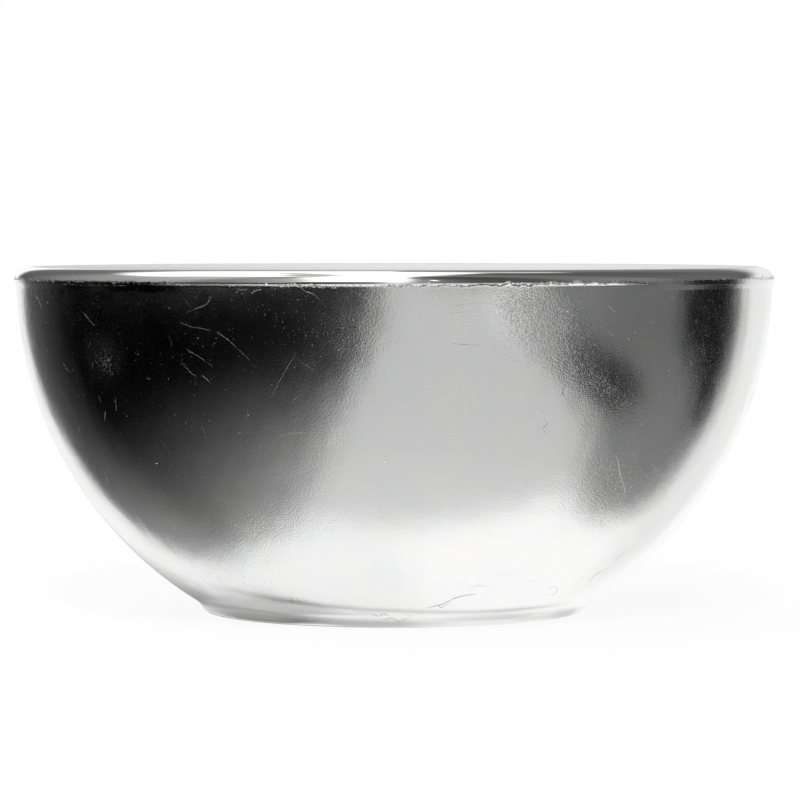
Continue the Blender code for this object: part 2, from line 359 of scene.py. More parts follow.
def silver_leaf(name, grain, haze):
    """Genuine silver leaf laid on glass, burnished and lacquered.

    The eye gets a mirror with a fine orange-peel grain from the size under it, patches that are a little
    duller, pin-sized pits, grit where it is rubbed, and darker silver where it has tarnished. It also has
    painted shade on the foot, and a painted reflection of a dark line just above it.
    """
    made, tree, shader = new_finish(name)
    place = add_node(tree, "ShaderNodeTexCoord").outputs["Object"]
    scaled = add_node(tree, "ShaderNodeVectorMath", {0: place, "Scale": 1 / MM}, operation="SCALE")
    millimetres = scaled.outputs["Vector"]

    # Patches about 9 mm across, a little duller and warmer.
    patches = noise(tree, millimetres, 0.11, 5.0, 0.6)
    tint = add_node(tree, "ShaderNodeValToRGB", {"Fac": patches})
    for stop, position, colour in zip(tint.color_ramp.elements, (0.3, 0.7), ("#EDEEEF", "#F3F2F0")):
        stop.position = position
        stop.color = linear(colour)
    # Darkened towards near black by the stored value: tarnish, and painted shade on the foot with a painted
    # dark reflected line above it
    tarnished_and_shaded = add_node(
        tree,
        "ShaderNodeMix",
        {0: stored(tree, "tarnish_and_painted_shade"), 6: tint.outputs["Color"], 7: linear("#15181A")},
        data_type="RGBA",
    ).outputs[2]

    # Grit about 0.4 mm across, with more of it the more the leaf is rubbed.
    rubbed = stored(tree, "scuff")
    grit = noise(tree, millimetres, 2.6, 2.0, 0.6)
    over = calculate(tree, "SUBTRACT", grit, ranged(tree, rubbed, (0, 1), (0.7, 0.5)))
    worn = ranged(tree, over, (0, 0.1), (0.0, 0.4))

    # Pits about 0.2 mm across, one to every 2 mm or so.
    duller = ranged(tree, patches, (0.35, 0.7), (haze, haze + 0.05))
    pits = add_node(tree, "ShaderNodeTexVoronoi", {"Vector": millimetres, "Scale": 0.55, "Randomness": 1.0})
    pit = ranged(tree, pits.outputs["Distance"], (0.03, 0.07), (1.0, 0.0), "SMOOTHSTEP")
    pitted = calculate(tree, "MULTIPLY_ADD", pit, 0.35, duller)
    roughness = add_node(tree, "ShaderNodeMath", {0: pitted, 1: worn}, operation="ADD", use_clamp=True)

    # Orange peel about 0.3 mm across on a slow swell of about 2.4 mm.
    swell = bump(tree, noise(tree, millimetres, 0.42, 2.0), 0.012 * MM)
    depth = ranged(tree, rubbed, (0, 1), (grain * MM, 4 * grain * MM))
    peel = bump(tree, noise(tree, millimetres, 3.6, 1.5, 0.6), depth, under=swell)
    feed(tree, shader, {
        "Base Color": tarnished_and_shaded,
        "Roughness": roughness.outputs["Value"],
        "Normal": peel,
        "Metallic": 1.0,
        "Coat Weight": 0.3,
        "Coat Roughness": 0.05,
    })
    return made


def pressed_glass(name):
    """Clear soda-lime glass, fire-polished after pressing: glossy, colourless, with a slow 11 mm ripple."""
    made, tree, shader = new_finish(name)
    place = add_node(tree, "ShaderNodeTexCoord").outputs["Object"]
    feed(tree, shader, {
        "Normal": bump(tree, noise(tree, place, 90.0, 1.0), 0.05 * MM, 0.5),
        "Base Color": linear("#FBFDFC"),
        "Transmission Weight": 1.0,
        "IOR": 1.52,
        "Roughness": 0.01,
    })
    return made


def silver_lustre(name):
    """Silver lustre brushed over the lip and fired on.

    The eye gets a clean mirror on the burnished outer half of the lip, and soft pale satin on its inner half.
    """
    made, tree, shader = new_finish(name)
    burnish = stored(tree, "burnish")
    roughness = ranged(tree, burnish, (0, 1), (0.6, 0.07))
    feed(tree, shader, {"Metallic": burnish, "Roughness": roughness, "Base Color": linear("#F4F4F3")})
    return made


WALL_LEAF = silver_leaf("lacquered_silver_leaf", 0.014, 0.16)
BASE_LEAF = silver_leaf("lacquered_silver_leaf_base", 0.03, 0.22)
GLASS = pressed_glass("fire_polished_glass")
LUSTRE = silver_lustre("fired_silver_lustre")


# ---------------------------------------------------------------- the glass dish


def outer_line():
    """(radius, height) down the glass's outer face, from the lip's crest to the ring that it stands on."""
    lip = oval((LIP_RADIUS, LIP_LEVEL), LIP_HALF_WIDTH, LIP_HALF_HEIGHT, 90, 0, 40)
    level = np.linspace(LIP_LEVEL, FOOT_TOP, 600)[1:]
    sphere = np.sqrt(SIDE_RADIUS**2 - np.minimum(level - WIDEST_LEVEL, 0) ** 2)
    flare = SIDE_FLARE * smooth_step(level, FLARE_START, FLARE_END)
    side = sphere + flare + LIP_SWELL * smooth_step(level, LIP_FOOT, LIP_UNDER)
    foot_level = np.linspace(FOOT_TOP, FOOT_END, 60)
    lean = np.interp(foot_level, *zip(*FOOT_LEAN[::-1]))
    drop = -np.diff(foot_level)
    radius = side[-1] - np.cumsum(drop * np.tan(np.radians((lean[1:] + lean[:-1]) / 2)))
    return np.concatenate((lip, np.column_stack((side, level)), np.column_stack((radius, foot_level[1:]))))


def glass_outline():
    """(radius, height) from the middle of the floor, up inside, over the lip, down outside, to the recess."""
    inner = SIDE_RADIUS - GLASS_THICKNESS
    bend = -np.degrees(np.arcsin((WIDEST_LEVEL - FLOOR_LEVEL - FLOOR_FILLET) / (inner - FLOOR_FILLET)))
    corner = ((inner - FLOOR_FILLET) * np.cos(np.radians(bend)), FLOOR_LEVEL + FLOOR_FILLET)
    floor = np.column_stack((np.linspace(0, corner[0], 12), np.full(12, FLOOR_LEVEL)))
    fillet = oval(corner, FLOOR_FILLET, FLOOR_FILLET, -90, bend, 16)
    inside = oval((0, WIDEST_LEVEL), inner, inner, bend, -3.2, 70)
    bead = oval((LIP_RADIUS, LIP_LEVEL), LIP_HALF_WIDTH, LIP_HALF_HEIGHT, 218, 92, 44)
    under = np.column_stack((np.linspace(28.0, 0, 8), np.full(8, RECESS_DEPTH)))
    return np.concatenate((floor, fillet[1:], inside[1:], bead, outer_line(), FOOT_RING, under))


def end_tree(tree, shape, finish):
    """The end of a tree that makes a shape: plain faces, in one finish."""
    real = add_node(tree, "GeometryNodeRealizeInstances", {"Geometry": shape.outputs[0]})
    finished = add_node(tree, "GeometryNodeSetMaterial", {"Geometry": real.outputs[0], "Material": finish})
    add_node(tree, "NodeGroupOutput", {0: finished.outputs[0]})


def turning_tree(finish):
    """Geometry nodes that turn an outline, drawn as a wire in the XZ plane, about the dish's axis."""
    tree = bpy.data.node_groups.new("turn_outline", "GeometryNodeTree")
    face = tree.interface
    face.new_socket("Outline", in_out="INPUT", socket_type="NodeSocketGeometry")
    steps = face.new_socket("Steps round", in_out="INPUT", socket_type="NodeSocketInt")
    reach = face.new_socket("Path radius", in_out="INPUT", socket_type="NodeSocketFloat")
    join = face.new_socket("Pole weld distance", in_out="INPUT", socket_type="NodeSocketFloat")
    face.new_socket("Turned", in_out="OUTPUT", socket_type="NodeSocketGeometry")
    given = add_node(tree, "NodeGroupInput")
    path = add_node(
        tree, "GeometryNodeCurvePrimitiveCircle", {"Resolution": given.outputs[1], "Radius": given.outputs[2]}
    )
    upright = add_node(tree, "GeometryNodeSetCurveNormal", {"Curve": path.outputs["Curve"]}, mode="Z_UP")
    wire = add_node(tree, "GeometryNodeMeshToCurve", {"Mesh": given.outputs[0]})
    back = calculate(tree, "MULTIPLY", given.outputs[2], -1.0)
    shift = add_node(tree, "ShaderNodeCombineXYZ", {"X": back})
    section = add_node(
        tree,
        "GeometryNodeTransform",
        {"Geometry": wire.outputs[0], "Translation": shift.outputs[0], "Rotation": (np.pi / 2, 0.0, 0.0)},
    )
    swept = add_node(
        tree, "GeometryNodeCurveToMesh", {"Curve": upright.outputs[0], "Profile Curve": section.outputs[0]}
    )
    welded = add_node(
        tree, "GeometryNodeMergeByDistance", {"Geometry": swept.outputs[0], "Distance": given.outputs[3]}
    )
    end_tree(tree, welded, finish)
    return tree, {"steps": steps.identifier, "reach": reach.identifier, "join": join.identifier}


def baked(source, name, finish):
    """The evaluated shape of an object as a plain mesh object; the object itself is removed."""
    graph = bpy.context.evaluated_depsgraph_get()
    mesh = bpy.data.meshes.new_from_object(source.evaluated_get(graph), depsgraph=graph)
    bpy.data.objects.remove(source)
    mesh.name = name
    mesh.materials.clear()
    mesh.materials.append(finish)
    mesh.shade_smooth()
    mesh.set_sharp_from_angle(angle=SHARP_ANGLE)
    return link(bpy.data.objects.new(name, mesh))


def facing_out(made):
    """Turns the faces of closed bodies outwards."""
    shape = bmesh.new()
    shape.from_mesh(made.data)
    bmesh.ops.recalc_face_normals(shape, faces=shape.faces)
    shape.to_mesh(made.data)
    shape.free()


def glass_dish():
    """The glass, turned from its outline, with lustre on the lip that is burnished on its outer half."""
    outline = glass_outline()
    wire = bpy.data.meshes.new("dish_outline")
    points = [(radius * MM, 0.0, level * MM) for radius, level in outline]
    wire.from_pydata(points, [(step, step + 1) for step in range(len(points) - 1)], [])
    source = link(bpy.data.objects.new("dish_outline", wire))
    tree, sockets = turning_tree(GLASS)
    turn = source.modifiers.new("turn", "NODES")
    turn.node_group = tree
    turn[sockets["steps"]] = ROUND_STEPS
    turn[sockets["reach"]] = PATH_RADIUS * MM
    turn[sockets["join"]] = POLE_WELD * MM
    made = baked(source, "dish_glass", GLASS)
    facing_out(made)
    made.data.materials.append(LUSTRE)
    for face in made.data.polygons:
        face.material_index = int(face.center.z > LUSTRE_EDGE * MM)
    spots = np.empty(3 * len(made.data.vertices))
    made.data.vertices.foreach_get("co", spots)
    reach = np.hypot(spots[0::3], spots[1::3]) / MM
    add_value(made, "burnish", smooth_step(reach, LIP_RADIUS - 0.4, LIP_RADIUS + 0.1))
    return made


# ---------------------------------------------------------------- the leaf


def leaf_line():
    """(radius, height) down the leaf's outer face, evenly spaced, from the lip's crest to the ring."""
    line = even_line(outer_line(), LINE_STEP)
    along = headings(line)
    return line + BED * np.column_stack((-along[:, 1], along[:, 0]))


def line_rows(line):
    """Distances down the leaf's line, close together at the torn edge and near the foot."""
    first = np.argmax(line[:, 1] < LIP_FOOT + 0.1) * LINE_STEP
    end = (len(line) - 1) * LINE_STEP
    top = np.arange(first, first + TOP_REACH, TOP_STEP)
    wall = np.arange(first + TOP_REACH, end - FOOT_REACH, WALL_STEP)
    return np.concatenate((top, wall, np.arange(end - FOOT_REACH, end, FOOT_STEP), [end]))


def direction(bearing):
    """How far east (+X) and north (+Y) a step of one goes at this bearing."""
    turn = np.radians(bearing)
    return np.sin(turn), -np.cos(turn)


def rim_places(bearing):
    """Points round the dish at its widest, where the tear's waves are read."""
    east, north = direction(bearing)
    return np.column_stack((east, north, np.zeros(len(east)))) * SIDE_RADIUS


def add_value(made, name, values):
    """One number at each point of a mesh, which its finish reads."""
    made.data.attributes.new(name, "FLOAT", "POINT").data.foreach_set("value", values)


def by_bearing(bearing, places):
    """The value between (bearing, value) places, which run from -180 to 180."""
    return np.interp((bearing + 180) % 360 - 180, *zip(*places))


def tarnish_and_painted_shade(bearing, level):
    """How much of its shine the leaf loses on the foot, partly tarnish and partly painted shade, and in the
    painted reflection of a dark line above it.
    """
    low = by_bearing(bearing, FOOT_TARNISH_AND_SHADE_LOW)
    end, top = by_bearing(bearing, FOOT_TARNISH_AND_SHADE_END), by_bearing(bearing, FOOT_TARNISH_AND_SHADE_TOP)
    foot = by_bearing(bearing, FOOT_TARNISH_AND_SHADE) * smooth_step(level, end, top)
    foot *= 0.1 + 0.9 * smooth_step(level, low - 0.5, low)
    away = (level - by_bearing(bearing, DARK_REFLECTION_LEVEL)) / by_bearing(bearing, DARK_REFLECTION_WIDTH)
    return np.maximum(foot, by_bearing(bearing, DARK_REFLECTION_DEPTH) * np.exp(-(away**2)))


def scuffed(bearing, level):
    """How rubbed and grainy the leaf is."""
    amount = np.full(len(bearing), 0.04)
    for middle, height, half_width, half_height, slant, strength in SCUFFS:
        along = (bearing + 180 - middle) % 360 - 180
        across = (level - height - slant * along) / half_height
        amount += strength * np.exp(-((along / half_width) ** 2) - across**2)
    return np.minimum(amount, 1)


def relief(points):
    """How far the leaf's face stands out from its even shape."""
    return 0.012 * waves(points, 14.0, 21) + 0.004 * waves(points, 4.0, 22)


def tear_height(bearing):
    """How high the leaf's torn top edge stands: it climbs a little up the lip, and is ragged in places."""
    rim = rim_places(bearing)
    level = np.interp(bearing, *zip(*TEAR_LEVEL), period=360)
    ragged = np.interp(bearing, *zip(*TEAR_RAGGED), period=360)
    return level + ragged * (0.1 * waves(rim, 2.4, 11) + 0.1 * waves(rim, 0.95, 12))


def bridge(bearing, level):
    """How far the leaf stands off the glass where it spans the corner under the lip."""
    span = smooth_step(level, BRIDGE_FOOT, LIP_LEVEL) - smooth_step(level, LIP_FOOT, LIP_UNDER)
    return LIP_SWELL * np.maximum(span, 0) * by_bearing(bearing, BRIDGE)


def add_sheet(index):
    """One sheet of leaf, from its first edge to its lap over the next sheet."""
    start = FIRST_BEARING + index * 360 / SHEETS
    lap = np.degrees(LAP / SIDE_RADIUS)
    bearings = start + np.linspace(0, 360 / SHEETS + lap, SHEET_COLUMNS + 1)

    line = leaf_line()
    run = np.arange(len(line)) * LINE_STEP
    rows = line_rows(line)
    top = np.interp(-tear_height(bearings), -line[:, 1], run)
    pull = np.clip(1 - (rows - rows[0]) / TEAR_PULL, 0, 1)
    down = rows[:, None] + (top - rows[0])[None, :] * pull[:, None]
    radius = np.interp(down, run, line[:, 0])
    level = np.interp(down, run, line[:, 1])
    bearing = np.repeat(bearings[None, :], len(rows), axis=0)

    # Outward direction of the face, in the (radius, height) plane.
    along_radius = np.gradient(radius, axis=0)
    along_level = np.gradient(level, axis=0)
    length = np.hypot(along_radius, along_level)
    out_radius, out_level = -along_level / length, along_radius / length

    east, north = direction(bearing)
    points = np.stack((radius * east, radius * north, level), axis=-1)
    height = relief(points.reshape(-1, 3)).reshape(radius.shape)
    over = (bearing - start - 360 / SHEETS) * np.pi / 180 * SIDE_RADIUS
    height += LAP_STEP * smooth_step(over, -LAP_RISE, 0)
    height -= 2 * LAP_STEP * smooth_step(over, LAP - LAP_FALL, LAP - LAP_END)
    curl = np.clip(1 - (down - top[None, :]) / CURL_REACH, 0, 1) ** 1.5 * by_bearing(bearing, TEAR_CURL)
    curl += bridge(bearing, level)
    fade = smooth_step(down, top.min() - 0.1, top.min() + 4)
    outward = np.stack((out_radius * east, out_radius * north, out_level), axis=-1)
    points = points + outward * (height * fade + curl)[..., None]
    points[..., 2] = np.maximum(points[..., 2], FOOT_END)

    columns = len(bearings)
    corner = (np.arange(len(rows) - 1)[:, None] * columns + np.arange(columns - 1)).ravel()
    faces = np.column_stack((corner, corner + columns, corner + columns + 1, corner + 1))
    made = mesh_object("sheet_face", points.reshape(-1, 3), faces.tolist(), WALL_LEAF)
    # Darkening at each point: tarnish, plus painted shade on the foot and a painted dark reflected line above
    # it
    add_value(made, "tarnish_and_painted_shade", tarnish_and_painted_shade(bearing.ravel(), level.ravel()))
    add_value(made, "scuff", scuffed(bearing.ravel(), level.ravel()))
    return thickened(made, f"leaf_sheet_{index + 1}", -1)


def thickened(face, name, offset):
    """A sheet of leaf from its face, as a closed body: the thickness goes inwards at -1, both ways at 0."""
    skin = face.modifiers.new("thickness", "SOLIDIFY")
    skin.thickness = LEAF * MM
    skin.offset = offset
    return baked(face, name, face.data.materials[0])


def on_leaf(bearing, level, lift=0.0):
    """Points on the leaf's outer face, and the ways out of it there."""
    line = leaf_line()
    along = headings(line)
    radius = np.interp(-level, -line[:, 1], line[:, 0])
    out_radius = np.interp(-level, -line[:, 1], -along[:, 1])
    out_level = np.interp(-level, -line[:, 1], along[:, 0])
    east, north = direction(bearing)
    outward = np.stack((out_radius * east, out_radius * north, out_level), axis=-1)
    points = np.stack((radius * east, radius * north, level), axis=-1)
    return points + lift * outward, outward


def fleck_tree(finish):
    """Geometry nodes that put a fleck on each point, turned and sized by the point's attributes."""
    tree = bpy.data.node_groups.new("scatter_flecks", "GeometryNodeTree")
    face = tree.interface
    face.new_socket("Points", in_out="INPUT", socket_type="NodeSocketGeometry")
    fleck = face.new_socket("Fleck", in_out="INPUT", socket_type="NodeSocketObject")
    scale = face.new_socket("Scale", in_out="INPUT", socket_type="NodeSocketFloat")
    face.new_socket("Flecks", in_out="OUTPUT", socket_type="NodeSocketGeometry")
    given = add_node(tree, "NodeGroupInput")
    shape = add_node(tree, "GeometryNodeObjectInfo", {"Object": given.outputs[1]})
    aim = add_node(tree, "GeometryNodeInputNamedAttribute", {"Name": "aim"}, data_type="FLOAT_VECTOR")
    size = add_node(tree, "GeometryNodeInputNamedAttribute", {"Name": "size"}, data_type="FLOAT_VECTOR")
    sized = add_node(
        tree, "ShaderNodeVectorMath", {0: size.outputs[0], "Scale": given.outputs[2]}, operation="SCALE"
    )
    turned = add_node(tree, "FunctionNodeEulerToRotation", {0: aim.outputs[0]})
    placed = add_node(
        tree,
        "GeometryNodeInstanceOnPoints",
        {
            "Points": given.outputs[0],
            "Instance": shape.outputs["Geometry"],
            "Rotation": turned.outputs[0],
            "Scale": sized.outputs[0],
        },
    )
    end_tree(tree, placed, finish)
    return tree, {"fleck": fleck.identifier, "scale": scale.identifier}


def fleck_shape():
    """One torn fleck of leaf: an uneven flat plate about one unit across, with a slightly raised middle."""
    turn = np.radians(np.array((0, 48, 110, 165, 230, 300)))
    reach = np.array((0.62, 0.41, 0.55, 0.36, 0.58, 0.44))
    rim = np.column_stack((reach * np.cos(turn), reach * np.sin(turn), 0 * turn))
    count = len(rim)
    points = np.vstack((rim, (0, 0, 0.12), rim - (0, 0, 0.12)))
    after = [(step + 1) % count for step in range(count)]
    faces = [(step, after[step], count) for step in range(count)]
    faces += [(step, step + count + 1, after[step] + count + 1, after[step]) for step in range(count)]
    faces.append(tuple(range(2 * count, count, -1)))
    mesh = bpy.data.meshes.new("fleck")
    mesh.from_pydata(points.tolist(), [], faces)
    return link(bpy.data.objects.new("fleck", mesh))


def scattered(name, bearing, level, size, lean, droop, seed):
    """Flecks of leaf at these places: each leans some random way by its lean, and down by its droop."""
    draw = np.random.default_rng(seed)
    points, outward = on_leaf(bearing, level, 0.01)
    mesh = bpy.data.meshes.new("places")
    mesh.from_pydata((points * MM).tolist(), [], [])
    stray = np.radians(lean)[:, None] * draw.normal(size=(len(bearing), 3)) * 0.6
    facing = outward + stray - np.outer(np.tan(np.radians(droop)), (0, 0, 1))
    aims = []
    for way, spin in zip(facing, draw.uniform(0, 2 * np.pi, len(bearing))):
        turn = Vector(way).to_track_quat("Z", "Y") @ Quaternion((0, 0, 1), spin)
        aims.append(turn.to_euler())
    aim = mesh.attributes.new("aim", "FLOAT_VECTOR", "POINT")
    aim.data.foreach_set("vector", np.array(aims, float).ravel())
    stretch = np.column_stack((size * draw.uniform(1, 2.4, len(size)), size, np.full(len(size), 0.12)))
    spread = mesh.attributes.new("size", "FLOAT_VECTOR", "POINT")
    spread.data.foreach_set("vector", stretch.ravel())
    places = link(bpy.data.objects.new("places", mesh))
    fleck = fleck_shape()
    tree, sockets = fleck_tree(WALL_LEAF)
    scatter = places.modifiers.new("scatter", "NODES")
    scatter.node_group = tree
    scatter[sockets["fleck"]] = fleck
    scatter[sockets["scale"]] = MM
    made = baked(places, name, WALL_LEAF)
    bpy.data.objects.remove(fleck)
    return made


def edge_flecks():
    """Crumbs of leaf along the torn edge, some on the glass above it."""
    draw = np.random.default_rng(41)
    bearing = draw.uniform(-180, 180, EDGE_FLECKS)
    crowd = 0.7 * waves(rim_places(bearing), 9.0, 42) + 2.2 * by_bearing(bearing, TEAR_RAGGED) - 1.6
    bearing = bearing[draw.normal(size=EDGE_FLECKS) < crowd]
    level = tear_height(bearing) + draw.normal(0.0, FLECK_STRAY, len(bearing))
    growth = np.where(np.abs(bearing - COARSE_BEARING) < COARSE_REACH, COARSE_GROWTH, 1)
    size = np.minimum(FLECK_LEAST + draw.exponential(FLECK_EXTRA, len(bearing)) * growth, FLECK_MOST)
    lean = np.where(draw.random(len(bearing)) < 0.2, FLECK_LIFTED, FLECK_LEAN)
    upright = 0.6 * smooth_step(bearing, 22, 32)
    droop = FLECK_DROOP * (1 - upright) * smooth_step(bearing, -20, -12) * smooth_step(bearing, 70, 60)
    return scattered("torn_edge_flecks", bearing, level, size, lean, droop, 43)


def face_specks():
    """Dust and lifted specks on the wall's leaf."""
    draw = np.random.default_rng(51)
    bearing = draw.uniform(-180, 180, FACE_SPECKS)
    level = WIDEST_LEVEL - SIDE_RADIUS * draw.beta(0.9, 1.5, FACE_SPECKS) * 0.82
    size = SPECK_LEAST + draw.exponential(SPECK_EXTRA, FACE_SPECKS)
    bearing = np.concatenate((bearing, [place[0] for place in SPECKS]))
    level = np.concatenate((level, [place[1] for place in SPECKS]))
    size = np.concatenate((size, [place[2] for place in SPECKS]))
    lean, droop = np.full(len(size), SPECK_LEAN), np.full(len(size), SPECK_DROOP)
    return scattered("face_specks", bearing, np.clip(level, *SPECK_LEVELS), size, lean, droop, 52)


def scratch_lines():
    """Each line's (bearing, level) points, half width and tarnish: the drawn ones, then fine stray ones."""
    lines = [(np.array(points, float), width, 0.0) for points, width in SCRATCHES]
    lines += [(np.array(points, float), width, CREASE_TARNISH) for points, width in CREASES]
    draw = np.random.default_rng(61)
    for _ in range(STRAY_SCRATCHES):
        start = np.array((draw.uniform(-180, 180), WIDEST_LEVEL - 52 * draw.beta(1, 1.6)))
        heading = np.radians(draw.choice((-60, -45, 75, 10)) + draw.normal(0, 14))
        length = 0.8 + draw.exponential(1.8)
        bend = draw.normal(0, 0.5)
        share = np.linspace(0, 1, 6)
        way = heading + bend * share
        step = np.column_stack((np.cos(way) / DEGREE_WIDTH, np.sin(way))) * length / 5
        lines.append((start + np.cumsum(step, axis=0), draw.uniform(*STRAY_WIDTHS), 0.0))
    return lines


def scratches():
    """The burrs of hair scratches, as fine half-sunk cords that taper to nothing."""
    points, faces, dull = [], [], []
    draw = np.random.default_rng(62)
    for places, width, dark in scratch_lines():
        line = even_line(places * (DEGREE_WIDTH, 1), SCRATCH_STEP) / (DEGREE_WIDTH, 1)
        if len(line) < 4:
            continue
        line = line + draw.normal(0, SCRATCH_WAVER, line.shape)
        centre, outward = on_leaf(line[:, 0], np.clip(line[:, 1], *SCRATCH_LEVELS))
        side = np.cross(outward, headings(centre))
        count = len(line)
        share = np.linspace(0, 1, count)
        taper = np.sqrt(np.clip(4 * share * (1 - share), 0.02, 1)) * (1 + 0.35 * draw.normal(size=count))
        reach = width * np.clip(taper, 0.15, 1.6)
        first = len(points)
        for turn in np.radians(np.arange(0, 360, 360 / SCRATCH_SIDES)):
            ring = centre + reach[:, None] * (np.cos(turn) * side + np.sin(turn) * outward)
            points.extend(ring.tolist())
        dull += [dark] * (SCRATCH_SIDES * count)
        starts = [first + corner * count for corner in range(SCRATCH_SIDES)]
        for near, far in zip(starts, starts[1:] + starts[:1]):
            faces += [(near + step, near + step + 1, far + step + 1, far + step) for step in range(count - 1)]
        faces.append(starts)
        faces.append([start + count - 1 for start in reversed(starts)])
    made = mesh_object("hair_scratches", points, faces, WALL_LEAF)
    add_value(made, "tarnish_and_painted_shade", dull)
    facing_out(made)
    return made


def base_sheet():
    """The sheet pressed up into the recess under the foot."""
    rings, spokes = 60, 120
    radius = np.linspace(0.4, RECESS_RADIUS - 0.5, rings)
    bearing, reach = np.meshgrid(np.linspace(0, 360, spokes, endpoint=False), radius)
    east, north = direction(bearing)
    flat = np.column_stack(((reach * east).ravel(), (reach * north).ravel(), np.zeros(reach.size)))
    flat[:, 2] = RECESS_DEPTH - 0.12 - 0.03 * (1 + waves(flat, 6.0, 31)) / 2
    middle = len(flat)
    points = np.vstack((flat, (0, 0, RECESS_DEPTH - 0.13)))
    faces = ring_faces(rings, spokes)
    faces += [(middle, (spoke + 1) % spokes, spoke) for spoke in range(spokes)]
    made = mesh_object("sheet_face", points, faces, BASE_LEAF)
    return thickened(made, "leaf_sheet_base", 0)


# ---------------------------------------------------------------- the studio

# The dish stands on a white table in a white tent. Cards and cloths round it give the mirror its tones.
# Places are (bearing, height above the horizon) in degrees; a grey is 0 to 255, as the leaf shows it.
TENT_GREYS = ((-180, 240), (-120, 244), (0, 246), (60, 252), (150, 251), (180, 240))  # by bearing


def steady(value):
    """Places for a line that keeps one value."""
    return ((-90, value), (90, value))


# Each card: its greys by height, what is added to them by bearing, its lower edge, its upper edge, its two
# side edges as (height, bearing) lines, and how soft its level and upright edges are, in degrees.
FRONT_PAPER = {
    "by_height": ((-80, 207), (-60, 203), (-45, 196), (0, 191)),
    "lower": ((-115, -58), (-80, -66), (-64, -68), (-48, -72), (-32, -75), (0, -77), (32, -74), (48, -71),
              (64, -66), (72, -62), (80, -56), (90, -50), (100, -46), (115, -40)),
    "upper": steady(4),
    "left": steady(-112),
    "right": steady(110),
    "soft": (6, 7),
}
BLACK_CLOTH = {
    "by_height": ((-66, 150), (-60, 136), (-50, 102), (-43, 78), (-35, 52), (-27, 22), (-20, 2), (-10, -6)),
    "by_bearing": ((-160, 110), (-144, 84), (-136, 70), (-128, 50), (-120, 28), (-112, 4), (-100, -4),
                   (-74, 0), (-64, 5), (-48, 17), (-32, 26), (-16, 52), (-6, 66), (0, 80)),
    "lower": ((-156, -2), (-152, -9), (-144, -34), (-136, -48), (-128, -54), (-120, -57), (-112, -59),
              (-96, -63), (-80, -65), (-64, -65), (-56, -63), (-48, -60.5), (-40, -57), (-32, -50.5),
              (-24, -43), (-16, -33), (-8, -19), (-4, -4), (-2, 10)),
    "upper": steady(16),
    "left": steady(-153),
    "right": steady(-3),
    "soft": (4, 5),
}
LIGHT_ROOF = {
    "by_height": steady(262),
    "lower": ((-180, 31), (-70, 30), (-50, 9), (50, 9), (70, 30), (180, 31)),
    "upper": steady(100),
    "soft": (4, 4),
}
GREY_STREAK = {
    "by_height": steady(178),
    "lower": ((-168, 56), (-160, 59), (-146, 69), (-109, 73), (-66, 72), (-50, 78)),
    "upper": ((-168, 51), (-160, 64), (-146, 76), (-109, 81), (-66, 78), (-50, 73)),
    "soft": (2, 3),
}
CREST_LEFT = {
    "by_height": steady(140),
    "lower": steady(5),
    "upper": steady(27),
    "left": steady(-184),
    "right": steady(-175),
    "soft": (2, 2),
}
CREST_RIGHT = {
    "by_height": steady(120),
    "lower": steady(5),
    "upper": ((170, 30), (180, 27)),
    "left": steady(174),
    "right": steady(184),
    "soft": (2, 2),
}
GREY_LEFT = {
    "by_height": ((0, 118), (10, 128), (20, 134), (30, 139), (38, 148), (46, 154), (66, 140)),
    "by_bearing": ((-180, 10), (-170, -12), (-163, -28), (-150, -40), (-142, -34), (-122, -6), (-105, 6),
                   (-90, 14), (-77, 24), (-66, 10), (-55, -12), (-45, 0), (-35, 20), (-30, 30)),
    "lower": ((-180, 5), (-175, 8), (-170, 8.5), (-165, 4.5), (-160, 1), (-150, 3), (-30, 3)),
    "upper": ((-180, 31), (-169, 34), (-163, 38), (-154, 40), (-143, 42), (-121, 44), (-103, 47), (-92, 56),
              (-80, 61), (-66, 67), (-50, 72), (-40, 66), (-30, 50)),
    "left": ((-90, -159), (8, -160), (18, -173), (30, -188), (90, -188)),
    "right": ((0, -29), (35, -29), (45, -33), (55, -40), (67, -50)),
    "soft": (3, 5),
}
DARK_RIGHT = {
    "by_height": ((0, 64), (10, 76), (30, 78), (50, 70), (70, 74), (85, 100)),
    "by_bearing": ((5, 90), (8, 66), (20, 18), (32, 0), (45, 4), (59, 28), (73, 40), (89, 36), (108, 18),
                   (125, 20), (140, 14), (160, 24), (170, 40), (180, 60)),
    "lower": steady(2),
    "upper": ((5, 78), (20, 80), (60, 82), (110, 82), (140, 80), (150, 75), (160, 66), (168, 54), (180, 42)),
    "left": ((-5, 2), (0, 2), (14, 4), (23, 5), (35, 6), (45, 7), (58, 7), (69, 9), (76, 15), (80, 30)),
    "right": steady(186),
    "soft": (3, 3),
}
PALE_RIGHT = {
    "by_height": steady(226),
    "lower": steady(-1),
    "upper": ((122, -8), (130, 3), (137, 10), (144, 15), (152, 18), (160, 19), (168, 16), (175, 10),
              (180, 4)),
    "soft": (5, 3),
}
GLINT = {
    "by_height": steady(240),
    "lower": ((156, 54), (165, 47), (174, 50)),
    "upper": ((156, 48), (165, 55), (174, 44)),
    "soft": (2, 2),
}
GLOW = {
    "by_height": steady(246),
    "lower": ((24, 0), (31, -7), (36, -11), (42, -8), (48, 0)),
    "upper": ((24, -8), (31, -4), (36, -3), (42, -4), (48, -8)),
    "soft": (3, 1),
}
SPARK = {
    "by_height": steady(400),
    "lower": steady(30),
    "upper": steady(40),
    "left": steady(12.2),
    "right": steady(14),
    "soft": (7, 0.7),
}
DARK_SPOT = {
    "by_height": steady(84),
    "lower": ((38, -6), (45, -13), (49, -16), (53, -14), (60, -6)),
    "upper": ((38, -14), (45, -8), (49, -5), (53, -7), (60, -14)),
    "soft": (3, 1),
}
PALE_SPOT = {
    "by_height": steady(50),
    "lower": ((-110, -13), (-102, -18), (-94, -13)),
    "upper": ((-110, -17), (-102, -12), (-94, -17)),
    "soft": (1.5, 1.5),
}
